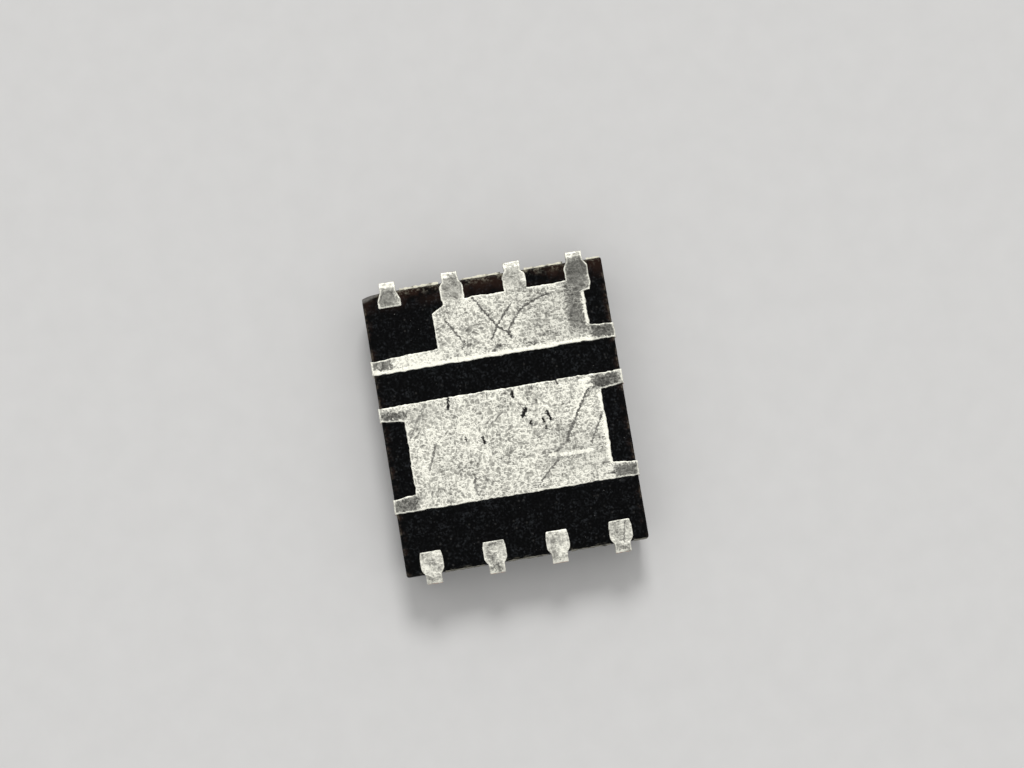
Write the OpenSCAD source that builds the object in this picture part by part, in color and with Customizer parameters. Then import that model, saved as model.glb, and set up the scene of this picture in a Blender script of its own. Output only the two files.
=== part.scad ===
// Dual power MOSFET (half bridge) in a flat moulded package, lying on its marked face, solder pads up.
// X runs along the rows of leads, +Y points to the row that holds the high-side gate and drain leads,
// and Z = 0 is the surface that the marked face lies on. All sizes are in millimetres.

/* [Package] */
// Width of the moulded body, across the tie bars
body_width = 4.9; // [4.7:0.05:5.4]
// Length of the moulded body, from one row of leads to the other
body_length = 5.75; // [5.5:0.05:6.2]
// Height from the marked face to the solder faces
package_height = 1.0; // [0.85:0.05:1.3]
// Draft of the moulded side walls, in degrees
draft_angle = 10; // [0:1:14]
// Diameter of the moulded dimple that marks the first lead
mark_diameter = 0.5; // [0.3:0.05:0.8]
// Depth of that dimple
mark_depth = 0.04; // [0.02:0.01:0.1]
// Distance of the dimple's centre from the two edges of the marked face
mark_inset = 0.6; // [0.45:0.05:0.9]
// Size of the broken corner along X
break_x = 0.37; // [0.1:0.01:0.5]
// Size of the broken corner along Y
break_y = 0.14; // [0.05:0.01:0.3]
// Depth of the broken corner below the moulded face
break_depth = 0.3; // [0.1:0.01:0.5]

/* [Lead frame] */
// Thickness of the copper sheet
sheet_thickness = 0.254; // [0.18:0.002:0.32]
// Thickness left where the sheet is etched from the solder side
etched_thickness = 0.12; // [0.08:0.005:0.15]
// Height of the plated solder faces above the moulded face
pad_standoff = 0.015; // [0.005:0.005:0.04]
// Width of the etched lip that locks a pad into the moulding
lock_lip = 0.1; // [0.05:0.01:0.15]
// Width of a tie bar where it is cut off at the side wall
tie_end_width = 0.29; // [0.2:0.01:0.34]
// Width of a tie bar where it leaves its pad
tie_root_width = 0.34; // [0.3:0.01:0.45]
// How far a cut tie bar stands out of the side wall
tie_out = 0.025; // [0.01:0.005:0.06]

/* [Leads] */
// Pitch of the leads in each row
lead_pitch = 1.27; // [1.15:0.01:1.35]
// How far a lead tip stands out of the moulded body
lead_out = 0.2; // [0.1:0.01:0.35]
// Width of a lead's foot at its widest
foot_width = 0.48; // [0.4:0.01:0.56]
// Width of a lead's foot at its inner end, the heel
heel_width = 0.43; // [0.34:0.01:0.48]
// Width of a lead's tip
tip_width = 0.33; // [0.24:0.01:0.38]
// Length over which the heel widens to the foot
heel_length = 0.13; // [0.05:0.01:0.18]
// Length over which a foot narrows to its tip
shoulder_length = 0.14; // [0.08:0.01:0.22]
// Length over which the high-side gate foot narrows to its tip
gate_shoulder = 0.25; // [0.15:0.01:0.28]
// Reach of a plain foot inside the body's edge
foot_reach = 0.455; // [0.42:0.005:0.6]
// Reach of the high-side gate foot inside the body's edge
gate_reach = 0.335; // [0.3:0.005:0.5]
// Reach of the foot at the drain pad's corner
last_foot_reach = 0.625; // [0.5:0.005:0.8]
// Length of the rolled bevel at a punched tip
bevel_run = 0.12; // [0.05:0.01:0.16]
// Drop of that bevel
bevel_drop = 0.055; // [0.02:0.005:0.09]
// Reach of the etched web behind a foot, where wires and clips land
web_reach = 0.32; // [0.26:0.01:0.4]
// How much wider than the foot the web is, on each side
web_margin = 0.05; // [0.02:0.01:0.1]

/* [Pads] */
// Distance of the drain pad's edge from the body's edge
drain_inset = 0.375; // [0.34:0.005:0.41]
// Length of the drain pad
drain_length = 1.28; // [1.2:0.01:1.4]
// Width of the drain pad beside its first foot
drain_wing = 0.225; // [0.12:0.005:0.32]
// Width of the drain pad beyond the centre of its last foot
drain_overhang = 0.095; // [0.02:0.005:0.2]
// Drop of the wing's sloping edge at the foot
wing_drop = 0.08; // [0.02:0.01:0.15]
// Drop of the wing's sloping edge at the pad's corner
wing_corner_drop = 0.22; // [0.16:0.01:0.35]
// Gap between the drain pad and the switch pad
pad_gap = 0.66; // [0.5:0.01:0.75]
// Width of the switch pad
switch_width = 4.0; // [3.8:0.02:4.3]
// Gap between the switch pad and the heels of the second row
foot_gap = 0.82; // [0.7:0.01:0.95]

/* [Dies] */
// Thickness of the silicon
die_thickness = 0.12; // [0.08:0.01:0.2]
// Distance of the high-side die from the drain pad's sides
high_die_inset_x = 0.4; // [0.3:0.01:0.55]
// Distance of the high-side die from the drain pad's ends
high_die_inset_y = 0.165; // [0.1:0.005:0.22]
// Distance of the low-side die from the switch pad's sides
low_die_inset_x = 0.35; // [0.2:0.01:0.5]
// Distance of the low-side die from the switch pad's lower end
low_die_inset_y = 0.1; // [0.06:0.01:0.15]
// Gap between the low-side die and the foot of the high-side clip
low_die_gap = 0.34; // [0.2:0.01:0.5]
// Thickness of the metal on a die's face
metal_thickness = 0.01; // [0.005:0.001:0.02]
// Bare border of a die round its metal
metal_border = 0.08; // [0.05:0.01:0.12]
// Side of a die's square gate metal
gate_metal_width = 0.24; // [0.2:0.01:0.3]
// Gap between gate metal and source metal
metal_gap = 0.06; // [0.03:0.01:0.1]
// Thickness of a soldered joint
solder_thickness = 0.03; // [0.02:0.005:0.05]
// How far the solder under a die spreads past it
solder_overhang = 0.04; // [0.01:0.01:0.06]

/* [Clips and wires] */
// Thickness of a source clip
clip_thickness = 0.18; // [0.12:0.01:0.24]
// Length of a clip's foot
clip_foot = 0.28; // [0.2:0.01:0.34]
// Distance of a clip from the edges of the metal that it lands on
clip_inset = 0.04; // [0.02:0.01:0.06]
// How far the solder under a clip stays inside the clip's edges
clip_solder_inset = 0.02; // [0.01:0.005:0.04]
// Distance past the die's edge where a clip starts its bend
clip_clearance = 0.1; // [0.07:0.01:0.14]
// Diameter of a gate wire
wire_diameter = 0.05; // [0.03:0.005:0.07]
// Height of a gate wire's loop above the die
loop_height = 0.16; // [0.1:0.01:0.22]
// Diameter of the ball at a wire's start
ball_diameter = 0.12; // [0.09:0.01:0.16]
// Thickness of that ball
ball_thickness = 0.03; // [0.02:0.005:0.05]
// Length of the flat stitch at a wire's end
stitch_length = 0.16; // [0.1:0.01:0.22]

/* [Hidden] */
$fn = 48;

// Levels, from the solder faces down to the clips
solder_z = package_height;
mould_z = solder_z - pad_standoff;
frame_z = solder_z - sheet_thickness;
die_z = frame_z - solder_thickness;
face_z = die_z - die_thickness;
metal_z = face_z - metal_thickness;
clip_z = metal_z - solder_thickness;

// Rows of leads: the first row is at +Y, and each row starts with a gate lead at -X
edge_y = body_length / 2;
wall_x = body_width / 2;
LEAD_COUNT = 4;
function lead_x(place) = (place - (LEAD_COUNT - 1) / 2) * lead_pitch;
GATE_PLACE = 0;
FIRST_PLACE = GATE_PLACE + 1;
LAST_PLACE = LEAD_COUNT - 1;
SHOULDER_STEPS = 6;

// Heels of the feet and the webs behind them
gate_heel_y = edge_y - gate_reach;
gate_web_y = gate_heel_y - web_reach;
low_heel_y = foot_reach - edge_y;
low_web_y = low_heel_y + web_reach;
web_half = foot_width / 2 + web_margin;
web_overlap = heel_length / 2;

// Pads
drain_y1 = edge_y - drain_inset;
drain_y0 = drain_y1 - drain_length;
drain_x0 = lead_x(FIRST_PLACE) - foot_width / 2 - drain_wing;
drain_x1 = lead_x(LAST_PLACE) + drain_overhang;
switch_y1 = drain_y0 - pad_gap;
switch_y0 = low_heel_y + foot_gap;
switch_x = switch_width / 2;

// Boxes are [x0, y0, x1, y1]
function grown(b, by) = [b[0] - by, b[1] - by, b[2] + by, b[3] + by];
drain_pad = [drain_x0, drain_y0, drain_x1, drain_y1];
switch_pad = [-switch_x, switch_y0, switch_x, switch_y1];

// Dies: the low-side die keeps clear of the foot of the high-side clip, which lands on the same pad
high_foot_y = switch_y1 - clip_inset;
high_die = drain_pad + [1, 0, -1, 0] * high_die_inset_x + [0, 1, 0, -1] * high_die_inset_y;
low_die = [
    low_die_inset_x - switch_x, switch_y0 + low_die_inset_y,
    switch_x - low_die_inset_x, high_foot_y - clip_foot - low_die_gap,
];

// Gate corners: each die has its gate towards the row that holds its gate lead
gate_corner = metal_border + gate_metal_width / 2;
high_gate = [high_die[0] + gate_corner, high_die[3] - gate_corner];
low_gate = [low_die[0] + gate_corner, low_die[1] + gate_corner];
source_dx = metal_border + gate_metal_width + metal_gap;

// Clips
clip_border = metal_border + clip_inset;
high_clip_x = [high_die[0] + source_dx + clip_inset, high_die[2] - clip_border];
high_bend_y = high_die[1] - clip_clearance;
low_clip_x = [low_die[0] + source_dx + clip_inset, low_die[2] - clip_border];
low_bend_y = low_die[1] - clip_clearance;
low_foot_y = low_web_y - clip_inset;
low_foot_x = max(low_clip_x[0], lead_x(FIRST_PLACE) - web_half + clip_inset);
low_neck_y = low_die[1] - clip_clearance / 2;
BEND_STEPS = 8;

// Wires
WIRE_SIDES = 8;
WIRE_RINGS = 14;
WIRE_LANDING_SHARE = 0.45;
stitch_thickness = wire_diameter / 2;
stitch_width = 2 * wire_diameter;
wire_lift = wire_diameter / 2 + stitch_thickness / 4;

// How far a cut reaches past the faces that it ends on, and into the pieces that share its edge
CUT_PAST = 0.02;

// Colours
tin = [0.79, 0.78, 0.74];
copper = [0.72, 0.43, 0.28];
silicon = [0.33, 0.35, 0.4];
solder = [0.58, 0.58, 0.57];
gold = [0.85, 0.66, 0.25];
epoxy = [0.06, 0.06, 0.065];

// A flat plate over the box [x0, y0, x1, y1], between two heights
module plate(b, z0, z1) {
    translate([b[0], b[1], z0]) cube([b[2] - b[0], b[3] - b[1], z1 - z0]);
}

// A side view, drawn as (Y, Z), swept along X between x0 and x1
module along_x(x0, x1) {
    translate([x0, 0, 0]) rotate([90, 0, 90]) linear_extrude(x1 - x0) children();
}

// One side of a lead's outline, from heel to tip, as [half width, distance outside the body's edge].
// A flare above 0 starts it with a narrower heel, and a bulge above 1 rounds its shoulder.
function lead_side(reach, flare, shoulder, bulge) =
    let (foot = foot_width / 2, tip = tip_width / 2, steps = bulge > 1 ? SHOULDER_STEPS : 1)
    concat(
        flare > 0 ? [[heel_width / 2, -reach]] : [],
        [[foot, flare - reach]],
        [for (k = [0:steps]) let (s = k / steps)
            [tip + (foot - tip) * (1 - pow(s, bulge)), shoulder * (s - 1)]],
        [[tip, lead_out]]
    );

// A lead's outline in its place. row is 1 for the first row and -1 for the other.
module lead(place, row, reach = foot_reach, flare = heel_length, shoulder = shoulder_length, bulge = 2) {
    side = lead_side(reach, flare, shoulder, bulge);
    other_side = [for (k = [len(side) - 1:-1:0]) [-side[k][0], side[k][1]]];
    translate([lead_x(place), row * edge_y]) rotate(row > 0 ? 0 : 180) polygon(concat(side, other_side));
}

// The outline of a tie bar from a pad's side at root_x to the side wall.
// Its straight edge is at y, and dir says to which side of that edge it lies.
module tie_bar(root_x, y, dir) {
    side = sign(root_x);
    end_x = side * (wall_x + tie_out);
    inside_x = root_x - side * lock_lip;
    polygon([
        [inside_x, y], [end_x, y], [end_x, y + dir * tie_end_width],
        [root_x, y + dir * tie_root_width], [inside_x, y + dir * tie_root_width],
    ]);
}

// What the punch rolls off the tips of a whole row, on the solder side
module tip_bevel(row) {
    tip_y = row * (edge_y + lead_out);
    run = [row * bevel_run, -bevel_drop];
    start = [tip_y - row * bevel_run, solder_z];
    along_x(-wall_x, wall_x) polygon([start - run, start + 2 * run, start + [2 * run[0], bevel_drop]]);
}

// A piece of the lead frame with this outline on its solder side. row tells where its leads end, 0 for none.
module frame_piece(row) {
    difference() {
        translate([0, 0, frame_z]) linear_extrude(sheet_thickness) children();
        if (row != 0) tip_bevel(row);
    }
}

// A half-etched web on the die side of the sheet
module web(b) {
    plate(b, frame_z, frame_z + etched_thickness);
}

// The web behind one or more feet, from its inner edge back under their heels
module foot_web(first, last, inner_y, heel_y, row) {
    y = [inner_y, heel_y + row * web_overlap];
    web([lead_x(first) - web_half, min(y), lead_x(last) + web_half, max(y)]);
}

module high_side_gate_lead() {
    color(tin) {
        frame_piece(1) lead(GATE_PLACE, 1, gate_reach, flare = 0, shoulder = gate_shoulder, bulge = 1);
        foot_web(GATE_PLACE, GATE_PLACE, gate_web_y, gate_heel_y, 1);
    }
}

module low_side_gate_lead() {
    color(tin) {
        frame_piece(-1) lead(GATE_PLACE, -1);
        foot_web(GATE_PLACE, GATE_PLACE, low_web_y, low_heel_y, -1);
    }
}

module low_side_source_leads() {
    color(tin) {
        frame_piece(-1) for (place = [FIRST_PLACE:LAST_PLACE]) lead(place, -1);
        foot_web(FIRST_PLACE, LAST_PLACE, low_web_y, low_heel_y, -1);
    }
}

module high_side_drain_pad() {
    first_x = lead_x(FIRST_PLACE);
    color(tin) {
        frame_piece(1) {
            polygon([
                [drain_x0, drain_y0], [drain_x1, drain_y0], [drain_x1, drain_y1], [first_x, drain_y1],
                [first_x - heel_width / 2, drain_y1 - wing_drop], [drain_x0, drain_y1 - wing_corner_drop],
            ]);
            for (place = [FIRST_PLACE:LAST_PLACE - 1]) lead(place, 1);
            lead(LAST_PLACE, 1, last_foot_reach);
            tie_bar(drain_x0, drain_y0, 1);
            tie_bar(drain_x1, drain_y0, 1);
        }
        web(grown(drain_pad, lock_lip));
    }
}

module switch_node_pad() {
    color(tin) {
        frame_piece(0) {
            translate([-switch_x, switch_y0]) square([switch_width, switch_y1 - switch_y0]);
            for (side = [-1, 1]) {
                tie_bar(side * switch_x, switch_y1, -1);
                tie_bar(side * switch_x, switch_y0, 1);
            }
        }
        web(grown(switch_pad, lock_lip));
    }
}

// In the stack below, over is how far a piece is carried into those that it is soldered or bonded to.
// It is 0 for the pieces themselves. Only the moulding's cut uses more, to leave no skin between them.

// A vertical-channel die: drain on its back, source and gate metal on its face. gate_end is 1 or -1.
module die(b, gate, gate_end, over) {
    m = grown(b, -metal_border);
    notch_x = b[0] + source_dx;
    near_y = gate_end > 0 ? m[3] : m[1];
    far_y = gate_end > 0 ? m[1] : m[3];
    notch_y = near_y - gate_end * (gate_metal_width + metal_gap);
    color(silicon) {
        plate(b, face_z, die_z + over);
        translate([0, 0, metal_z]) linear_extrude(metal_thickness + die_thickness / 2) {
            polygon([
                [m[0], far_y], [m[2], far_y], [m[2], near_y],
                [notch_x, near_y], [notch_x, notch_y], [m[0], notch_y],
            ]);
            translate(gate) square(gate_metal_width, center = true);
        }
    }
}

module high_side_die(over = 0) {
    die(high_die, high_gate, 1, over);
}

module low_side_die(over = 0) {
    die(low_die, low_gate, -1, over);
}

module high_side_die_solder(over = 0) {
    color(solder) plate(grown(high_die, solder_overhang), die_z, frame_z + over);
}

module low_side_die_solder(over = 0) {
    color(solder) plate(grown(low_die, solder_overhang), die_z, frame_z + over);
}

// The side view of a clip: a plate at the die's level, an S-bend and a foot at the lead frame's level
module clip_side(start_y, bend_y, foot_y, end_y) {
    near_foot_z = frame_z - solder_thickness;
    rise = near_foot_z - clip_z;
    near = concat(
        [[start_y, clip_z]],
        [for (k = [0:BEND_STEPS]) let (s = k / BEND_STEPS)
            [bend_y + s * (foot_y - bend_y), clip_z + rise * (1 - cos(180 * s)) / 2]],
        [[end_y, near_foot_z]]
    );
    far = [for (k = [len(near) - 1:-1:0]) near[k] - [0, clip_thickness]];
    polygon(concat(near, far));
}

module high_side_clip() {
    color(copper) along_x(high_clip_x[0], high_clip_x[1])
        clip_side(high_die[3] - clip_border, high_bend_y, high_foot_y, high_foot_y - clip_foot);
}

// The low-side clip is narrower past the die, where its foot lands beside the gate lead's web
module low_side_clip() {
    end_y = low_foot_y - clip_foot;
    color(copper) difference() {
        along_x(low_clip_x[0], low_clip_x[1])
            clip_side(low_die[3] - clip_border, low_bend_y, low_foot_y, end_y);
        plate([low_clip_x[0] - CUT_PAST, end_y - CUT_PAST, low_foot_x, low_neck_y], 0, frame_z);
    }
}

// Solder between a clip and the metal under it, over the part of the clip from y0 to y1
module clip_solder(x, y0, y1, z0, z1, over) {
    area = grown([x[0], y0, x[1], y1], -clip_solder_inset);
    color(solder) plate(area, z0 - over, z1 + over);
}

module high_side_source_solder(over = 0) {
    clip_solder(high_clip_x, high_die[1] + metal_border, high_die[3] - clip_border, clip_z, metal_z, over);
}

module low_side_source_solder(over = 0) {
    clip_solder(low_clip_x, low_die[1] + metal_border, low_die[3] - clip_border, clip_z, metal_z, over);
}

module high_side_foot_solder(over = 0) {
    clip_solder(high_clip_x, high_foot_y - clip_foot, high_foot_y, die_z, frame_z, over);
}

module low_side_foot_solder(over = 0) {
    clip_solder([low_foot_x, low_clip_x[1]], low_foot_y - clip_foot, low_foot_y, die_z, frame_z, over);
}

function bezier(p, t) =
    let (u = 1 - t) u * u * u * p[0] + 3 * t * u * u * p[1] + 3 * t * t * u * p[2] + t * t * t * p[3];
function bezier_slope(p, t) =
    let (u = 1 - t) u * u * (p[1] - p[0]) + 2 * t * u * (p[2] - p[1]) + t * t * (p[3] - p[2]);
function unit(v) = v / norm(v);

// A round wire swept along a curve that lies in one upright plane, whose level normal is side
module wire(curve, side) {
    rings = [for (k = [0:WIRE_RINGS])
        let (t = k / WIRE_RINGS, centre = bezier(curve, t))
        let (across = cross(side, unit(bezier_slope(curve, t))))
        [for (j = [0:WIRE_SIDES - 1]) let (a = 360 * j / WIRE_SIDES)
            centre + wire_diameter / 2 * (cos(a) * side + sin(a) * across)]];
    polyhedron(
        [for (ring = rings) each ring],
        concat(
            [[for (j = [WIRE_SIDES - 1:-1:0]) j]],
            [for (k = [0:WIRE_RINGS - 1]) for (j = [0:WIRE_SIDES - 1])
                let (a = k * WIRE_SIDES, b = a + WIRE_SIDES, next = (j + 1) % WIRE_SIDES)
                [a + j, a + next, b + next, b + j]],
            [[for (j = [0:WIRE_SIDES - 1]) WIRE_RINGS * WIRE_SIDES + j]]
        )
    );
}

// A gate wire: a ball on the die's gate metal, a loop and a flat stitch on the lead's web
module gate_wire(gate, landing, over) {
    run = landing - gate;
    along = unit(concat(run, 0));
    side = [-along[1], along[0], 0];
    start = concat(gate, metal_z - ball_thickness / 2);
    end = concat(landing, frame_z - wire_lift);
    top_z = metal_z - loop_height;
    level_from = end - WIRE_LANDING_SHARE * norm(run) * along;
    color(gold) {
        translate(concat(gate, metal_z - ball_thickness))
            cylinder(d = ball_diameter, h = ball_thickness + over);
        wire([start, concat(gate, 2 * top_z - start[2]), level_from, end], side);
        translate(concat(landing, frame_z - stitch_thickness)) rotate(atan2(run[1], run[0]))
            translate([-stitch_length / 2, -stitch_width / 2, 0])
            cube([stitch_length, stitch_width, stitch_thickness + over]);
    }
}

module high_side_gate_wire(over = 0) {
    gate_wire(high_gate, [lead_x(GATE_PLACE), gate_web_y + web_reach / 2], over);
}

module low_side_gate_wire(over = 0) {
    gate_wire(low_gate, [lead_x(GATE_PLACE), low_web_y - web_reach / 2], over);
}

// A wall profile, upright beside the lead frame and drafted below it, for a body of this width
module drafted_profile(width) {
    half = width / 2;
    inset = frame_z * tan(draft_angle);
    polygon([
        [inset - half, 0], [half - inset, 0], [half, frame_z],
        [half, mould_z], [-half, mould_z], [-half, frame_z],
    ]);
}

// The corner broken off beside the first lead, as a solid to take away
module broken_corner() {
    corner = [-wall_x, edge_y, mould_z];
    cut = [corner + [break_x, 0, 0], corner - [0, break_y, 0], corner - [0, 0, break_depth]];
    middle = (cut[0] + cut[1] + cut[2]) / 3;
    far = [for (p = cut) p + (p - middle) / 2];
    polyhedron(
        [far[0], far[1], far[2], corner + (corner - middle)],
        [[2, 1, 0], [1, 3, 0], [2, 3, 1], [0, 3, 2]]
    );
}

// The moulding before the pieces inside take their room
module moulding() {
    inset = frame_z * tan(draft_angle) + mark_inset;
    difference() {
        intersection() {
            along_x(-wall_x, wall_x) drafted_profile(body_length);
            translate([0, edge_y, 0]) rotate([90, 0, 0]) linear_extrude(body_length)
                drafted_profile(body_width);
        }
        broken_corner();
        translate([inset - wall_x, edge_y - inset, -mark_depth])
            cylinder(d = mark_diameter, h = 2 * mark_depth);
    }
}

module mould_body() {
    color(epoxy) difference() {
        moulding();
        high_side_gate_lead();
        high_side_drain_pad();
        switch_node_pad();
        low_side_source_leads();
        low_side_gate_lead();
        high_side_die(CUT_PAST);
        low_side_die(CUT_PAST);
        high_side_die_solder(CUT_PAST);
        low_side_die_solder(CUT_PAST);
        high_side_clip();
        low_side_clip();
        high_side_source_solder(CUT_PAST);
        low_side_source_solder(CUT_PAST);
        high_side_foot_solder(CUT_PAST);
        low_side_foot_solder(CUT_PAST);
        high_side_gate_wire(CUT_PAST);
        low_side_gate_wire(CUT_PAST);
    }
}

mould_body();
high_side_gate_lead();
high_side_drain_pad();
switch_node_pad();
low_side_source_leads();
low_side_gate_lead();
high_side_die();
low_side_die();
high_side_die_solder();
low_side_die_solder();
high_side_clip();
low_side_clip();
high_side_source_solder();
low_side_source_solder();
high_side_foot_solder();
low_side_foot_solder();
high_side_gate_wire();
low_side_gate_wire();
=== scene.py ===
"""A field-effect transistor for a shared library of parts: its looks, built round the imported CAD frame.

Blender 4.5 runs this file as a script, and it is laid out as an add-on. Settings are in metres. The mesh code
works in millimetres, in the frame of the CAD, and turns each finished mesh into metres.
"""
import math
from functools import partial

import bmesh
import bpy
import numpy as np
from bpy.props import FloatProperty, FloatVectorProperty, IntProperty, PointerProperty
from mathutils import Matrix, Vector, geometry, noise


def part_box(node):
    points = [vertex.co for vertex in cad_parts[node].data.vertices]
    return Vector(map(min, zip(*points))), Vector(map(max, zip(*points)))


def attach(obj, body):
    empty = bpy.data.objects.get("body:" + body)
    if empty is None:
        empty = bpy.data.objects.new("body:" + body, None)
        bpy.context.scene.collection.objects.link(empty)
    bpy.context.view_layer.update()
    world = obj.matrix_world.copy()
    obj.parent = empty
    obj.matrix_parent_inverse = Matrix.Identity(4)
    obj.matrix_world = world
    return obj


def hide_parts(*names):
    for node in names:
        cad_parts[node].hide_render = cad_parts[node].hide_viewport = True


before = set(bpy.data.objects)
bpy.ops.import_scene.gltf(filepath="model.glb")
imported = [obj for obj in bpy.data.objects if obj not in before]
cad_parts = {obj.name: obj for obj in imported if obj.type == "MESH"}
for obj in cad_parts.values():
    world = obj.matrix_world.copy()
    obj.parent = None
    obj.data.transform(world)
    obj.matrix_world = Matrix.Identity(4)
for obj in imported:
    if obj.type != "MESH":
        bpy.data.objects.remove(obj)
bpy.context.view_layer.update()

bl_info = {
    "name": "Flat power transistor",
    "version": (1, 0, 0),
    "blender": (4, 5, 0),
    "location": "3D View > Sidebar > Transistor",
    "description": "Dresses the packed transistor: moulded body, plated pads and leads, and a plain studio",
    "category": "Object",
}

MM = 0.001
# Points of a mesh, or of a flat outline, become one when they are closer than this
WELD, SAME_POINT = 1e-4, 1e-7


def node_box(node):
    """A CAD node's lowest and highest corner, in millimetres."""
    low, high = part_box(node)
    return low / MM, high / MM


# Sizes of the CAD: the moulding's half width, half length and height, the sheet's levels, and the leads' tips
HALF_X, EDGE_Y, MOULD_Z = node_box("mould_body")[1]
SHEET_LOW, SHEET_HIGH = node_box("switch_node_pad")
FRAME_Z, SOLDER_Z = SHEET_LOW.z, SHEET_HIGH.z
LEAD_OUT = -node_box("low_side_source_leads")[0].y - EDGE_Y
TIP_Y = EDGE_Y + LEAD_OUT
# The leads of each row, from the gate lead on
LEAD_PITCH = 1.27
LEAD_X = [LEAD_PITCH * (place - 1.5) for place in range(4)]
# The corner that is broken off the moulding: its size along X, Y and down
BROKEN = (0.37, 0.14, 0.3)
# Where a pad is cut between its locking lip and the bevel of its tips, and how far in its new edge lies
CUT_Z = FRAME_Z + 0.154
EDGE_INSET = 0.004
# A pad's edge: the sizes of its fine and wide wander, and the rows of vertices inside it, in edge radii
FINE_WANDER, WIDE_WANDER = 0.07, 0.2
EDGE_ROWS = (0.3, 0.7, 1.15, 1.9)
# The waves of a pad's face: their size, and their depth beside that of the grains
WAVE_SIZE, WAVE_DEPTH = 0.45, 1.6
# Above this level the moulding is cut by the dressed pads and leads, which reach a little below it
SLAB_Z = CUT_Z + 0.02
SLAB_WIDTH = 8
CUTTER_OVERLAP = 0.01
# How fast the painted highlight along the tin's rim fades inward, and how far the faces of a foot wander
RIM_HIGHLIGHT_WIDTH = 0.03
FOOT_RAGGED = 0.007
# The resin flash: its distance from a lead's middle, from the body's side and from the top, its steps and wander
FLASH_LEAD_GAP, FLASH_SIDE_GAP, FLASH_DROP = 0.24, 0.04, 0.032
FLASH_STEP, FLASH_WANDER = 0.022, 0.016
# Edges that bend more than this stay sharp
SHARP_ANGLE = math.radians(48)
# The pieces that the moulding holds at its surface
SHEET_PIECES = ("drain_pad_plate", "switch_pad_plate", "high_gate_foot", "low_gate_foot", "source_feet")

# Wear on the solder side, in millimetres: lines and short gouges with their width and strength
SCRATCHES = (
    (((-0.87, 2.11), (-0.71, 1.85), (-0.54, 1.57)), 0.018, 0.8),
    (((-0.24, 2.47), (-0.04, 2.11), (0.18, 1.8), (0.42, 1.62)), 0.018, 0.85),
    (((1.28, 2.3), (1.06, 2.25), (0.74, 2.12), (0.63, 2.03), (0.38, 1.71), (0.39, 1.57)), 0.022, 0.8),
    (((0.5, 2.22), (0.32, 2.02), (0.19, 1.86), (0.01, 1.57)), 0.018, 0.85),
    (((0.71, 1.66), (0.62, 1.41)), 0.018, 0.4),
    (((1.73, 1.95), (1.58, 1.67)), 0.02, 0.45),
    (((0.94, 1.81), (1.09, 1.41)), 0.016, 0.4),
    (((1.75, 0.27), (1.54, -0.03), (1.39, -0.28)), 0.015, 0.85),
    (((1.39, -0.28), (1.26, -0.5), (1.16, -0.68)), 0.034, 0.75),
    (((1.16, -0.68), (0.96, -0.82), (0.93, -1.05)), 0.028, 0.4),
    (((0.93, -1.05), (0.68, -1.25), (0.42, -1.52)), 0.016, 0.75),
    (((1.95, -0.24), (1.83, -0.46), (1.73, -0.61), (1.64, -0.8)), 0.016, 0.75),
    (((-1.46, -0.33), (-1.56, -0.64), (-1.65, -0.86)), 0.018, 0.65),
    (((-1.66, 0.3), (-1.82, 0.05), (-1.92, -0.14)), 0.018, 0.5),
    (((-1.53, 0.48), (-1.78, 0.01)), 0.016, 0.4),
    (((-0.06, 0.05), (-0.31, -0.13)), 0.016, 0.55),
    (((-0.78, -1.11), (-0.8, -1.31), (-0.78, -1.48)), 0.018, 0.65),
    (((-0.5, -1.02), (-0.63, -1.4)), 0.02, 0.35),
    (((2.02, -2.5), (1.93, -2.87)), 0.016, 0.6),
    (((-2.1, 2.68), (-2.0, 2.83)), 0.016, 0.5),
    (((-1.86, 2.87), (-1.78, 2.72)), 0.016, 0.5),
)
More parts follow.
